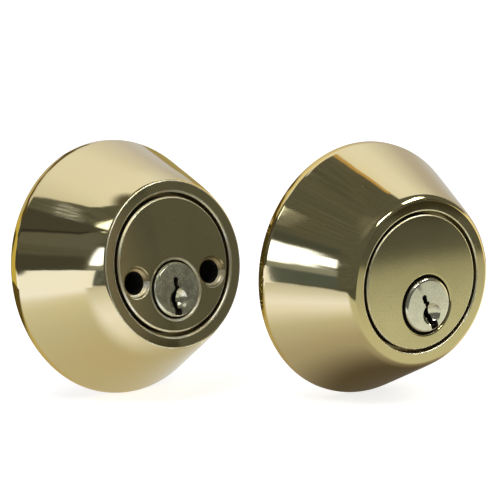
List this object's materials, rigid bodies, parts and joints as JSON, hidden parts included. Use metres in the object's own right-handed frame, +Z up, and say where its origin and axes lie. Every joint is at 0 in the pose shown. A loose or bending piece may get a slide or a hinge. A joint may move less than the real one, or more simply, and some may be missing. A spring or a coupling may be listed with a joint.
{
  "type": "double cylinder deadbolt lock",
  "caption": "Double cylinder deadbolt: outside and inside halves with flared brass collars, face discs, keyed plugs, pin stacks and tailpieces.",
  "frame": {"origin": "centre of the outside half's rim, on the plane of the door's face", "axes": "+Z up, the outside half faces -Y and its door lies towards +Y, +X to the right as seen from the front; the inside half stands to the left and behind, leaning back"},
  "size_m": [0.1137, 0.095, 0.065],
  "materials": {
    "outside_collar_brass": "polished and lacquered",
    "inside_collar_brass": "polished and lacquered",
    "outside_face_brass": "fine satin",
    "inside_face_brass": "fine satin",
    "outside_plug_nickel": "nickel silver, turned",
    "inside_plug_nickel": "nickel plated, turned",
    "yellow_brass": "machined",
    "steel": "zinc plated",
    "spring_steel": "drawn wire"
  },
  "bodies": {
    "lock_halves": {"outside_collar": "outside_collar_brass", "outside_cylinder_body": "outside_face_brass", "outside_chamber_cover": "yellow_brass", "inside_collar": "inside_collar_brass", "inside_cylinder_body": "inside_face_brass", "inside_chamber_cover": "yellow_brass", "outside_pin_spring_1": "spring_steel", "outside_pin_spring_2": "spring_steel", "outside_pin_spring_3": "spring_steel", "outside_pin_spring_4": "spring_steel", "outside_pin_spring_5": "spring_steel", "inside_pin_spring_1": "spring_steel", "inside_pin_spring_2": "spring_steel", "inside_pin_spring_3": "spring_steel", "inside_pin_spring_4": "spring_steel", "inside_pin_spring_5": "spring_steel"},
    "outside_plug": {"outside_plug": "outside_plug_nickel", "outside_plug_cap": "yellow_brass", "outside_cap_pin": "steel", "outside_cap_pin_spring": "spring_steel", "outside_tailpiece": "steel"},
    "outside_key_pin_1": {"outside_key_pin_1": "yellow_brass"},
    "outside_key_pin_2": {"outside_key_pin_2": "yellow_brass"},
    "outside_key_pin_3": {"outside_key_pin_3": "yellow_brass"},
    "outside_key_pin_4": {"outside_key_pin_4": "yellow_brass"},
    "outside_key_pin_5": {"outside_key_pin_5": "yellow_brass"},
    "outside_driver_pin_1": {"outside_driver_pin_1": "yellow_brass"},
    "outside_driver_pin_2": {"outside_driver_pin_2": "yellow_brass"},
    "outside_driver_pin_3": {"outside_driver_pin_3": "yellow_brass"},
    "outside_driver_pin_4": {"outside_driver_pin_4": "yellow_brass"},
    "outside_driver_pin_5": {"outside_driver_pin_5": "yellow_brass"},
    "inside_plug": {"inside_plug": "inside_plug_nickel", "inside_plug_cap": "yellow_brass", "inside_cap_pin": "steel", "inside_cap_pin_spring": "spring_steel", "inside_tailpiece": "steel"},
    "inside_key_pin_1": {"inside_key_pin_1": "yellow_brass"},
    "inside_key_pin_2": {"inside_key_pin_2": "yellow_brass"},
    "inside_key_pin_3": {"inside_key_pin_3": "yellow_brass"},
    "inside_key_pin_4": {"inside_key_pin_4": "yellow_brass"},
    "inside_key_pin_5": {"inside_key_pin_5": "yellow_brass"},
    "inside_driver_pin_1": {"inside_driver_pin_1": "yellow_brass"},
    "inside_driver_pin_2": {"inside_driver_pin_2": "yellow_brass"},
    "inside_driver_pin_3": {"inside_driver_pin_3": "yellow_brass"},
    "inside_driver_pin_4": {"inside_driver_pin_4": "yellow_brass"},
    "inside_driver_pin_5": {"inside_driver_pin_5": "yellow_brass"}
  },
  "joints": [
    {"name": "outside_plug_turn", "type": "hinge", "parent": "lock_halves", "child": "outside_plug", "pos_m": [0.0019, 0, -0.00611], "axis": [0, -1, 0], "range_deg": [-90, 90]},
    {"name": "outside_key_pin_1_drop", "type": "slide", "parent": "outside_plug", "child": "outside_key_pin_1", "axis": [-0.2974, 0, 0.9548], "range_m": [-0.00281, 0]},
    {"name": "outside_key_pin_2_drop", "type": "slide", "parent": "outside_plug", "child": "outside_key_pin_2", "axis": [-0.2974, 0, 0.9548], "range_m": [-0.00201, 0]},
    {"name": "outside_key_pin_3_drop", "type": "slide", "parent": "outside_plug", "child": "outside_key_pin_3", "axis": [-0.2974, 0, 0.9548], "range_m": [-0.00321, 0]},
    {"name": "outside_key_pin_4_drop", "type": "slide", "parent": "outside_plug", "child": "outside_key_pin_4", "axis": [-0.2974, 0, 0.9548], "range_m": [-0.00241, 0]},
    {"name": "outside_key_pin_5_drop", "type": "slide", "parent": "outside_plug", "child": "outside_key_pin_5", "axis": [-0.2974, 0, 0.9548], "range_m": [-0.00301, 0]},
    {"name": "outside_driver_pin_1_lift", "type": "slide", "parent": "lock_halves", "child": "outside_driver_pin_1", "axis": [-0.2974, 0, 0.9548], "range_m": [0, 0.003], "stiffness_N_per_m": 50, "springref_m": -0.0024, "deforming": ["outside_pin_spring_1"]},
    {"name": "outside_driver_pin_2_lift", "type": "slide", "parent": "lock_halves", "child": "outside_driver_pin_2", "axis": [-0.2974, 0, 0.9548], "range_m": [0, 0.003], "stiffness_N_per_m": 50, "springref_m": -0.0024, "deforming": ["outside_pin_spring_2"]},
    {"name": "outside_driver_pin_3_lift", "type": "slide", "parent": "lock_halves", "child": "outside_driver_pin_3", "axis": [-0.2974, 0, 0.9548], "range_m": [0, 0.003], "stiffness_N_per_m": 50, "springref_m": -0.0024, "deforming": ["outside_pin_spring_3"]},
    {"name": "outside_driver_pin_4_lift", "type": "slide", "parent": "lock_halves", "child": "outside_driver_pin_4", "axis": [-0.2974, 0, 0.9548], "range_m": [0, 0.003], "stiffness_N_per_m": 50, "springref_m": -0.0024, "deforming": ["outside_pin_spring_4"]},
    {"name": "outside_driver_pin_5_lift", "type": "slide", "parent": "lock_halves", "child": "outside_driver_pin_5", "axis": [-0.2974, 0, 0.9548], "range_m": [0, 0.003], "stiffness_N_per_m": 50, "springref_m": -0.0024, "deforming": ["outside_pin_spring_5"]},
    {"name": "inside_plug_turn", "type": "hinge", "parent": "lock_halves", "child": "inside_plug", "pos_m": [-0.04867, 0.03898, -0.0068], "axis": [0.0258, -0.9842, 0.1754], "range_deg": [-90, 90]},
    {"name": "inside_key_pin_1_drop", "type": "slide", "parent": "inside_plug", "child": "inside_key_pin_1", "axis": [-0.0046, 0.1753, 0.9845], "range_m": [-0.00281, 0]},
    {"name": "inside_key_pin_2_drop", "type": "slide", "parent": "inside_plug", "child": "inside_key_pin_2", "axis": [-0.0046, 0.1753, 0.9845], "range_m": [-0.00201, 0]},
    {"name": "inside_key_pin_3_drop", "type": "slide", "parent": "inside_plug", "child": "inside_key_pin_3", "axis": [-0.0046, 0.1753, 0.9845], "range_m": [-0.00321, 0]},
    {"name": "inside_key_pin_4_drop", "type": "slide", "parent": "inside_plug", "child": "inside_key_pin_4", "axis": [-0.0046, 0.1753, 0.9845], "range_m": [-0.00241, 0]},
    {"name": "inside_key_pin_5_drop", "type": "slide", "parent": "inside_plug", "child": "inside_key_pin_5", "axis": [-0.0046, 0.1753, 0.9845], "range_m": [-0.00301, 0]},
    {"name": "inside_driver_pin_1_lift", "type": "slide", "parent": "lock_halves", "child": "inside_driver_pin_1", "axis": [-0.0046, 0.1753, 0.9845], "range_m": [0, 0.003], "stiffness_N_per_m": 50, "springref_m": -0.0024, "deforming": ["inside_pin_spring_1"]},
    {"name": "inside_driver_pin_2_lift", "type": "slide", "parent": "lock_halves", "child": "inside_driver_pin_2", "axis": [-0.0046, 0.1753, 0.9845], "range_m": [0, 0.003], "stiffness_N_per_m": 50, "springref_m": -0.0024, "deforming": ["inside_pin_spring_2"]},
    {"name": "inside_driver_pin_3_lift", "type": "slide", "parent": "lock_halves", "child": "inside_driver_pin_3", "axis": [-0.0046, 0.1753, 0.9845], "range_m": [0, 0.003], "stiffness_N_per_m": 50, "springref_m": -0.0024, "deforming": ["inside_pin_spring_3"]},
    {"name": "inside_driver_pin_4_lift", "type": "slide", "parent": "lock_halves", "child": "inside_driver_pin_4", "axis": [-0.0046, 0.1753, 0.9845], "range_m": [0, 0.003], "stiffness_N_per_m": 50, "springref_m": -0.0024, "deforming": ["inside_pin_spring_4"]},
    {"name": "inside_driver_pin_5_lift", "type": "slide", "parent": "lock_halves", "child": "inside_driver_pin_5", "axis": [-0.0046, 0.1753, 0.9845], "range_m": [0, 0.003], "stiffness_N_per_m": 50, "springref_m": -0.0024, "deforming": ["inside_pin_spring_5"]}
  ]
}
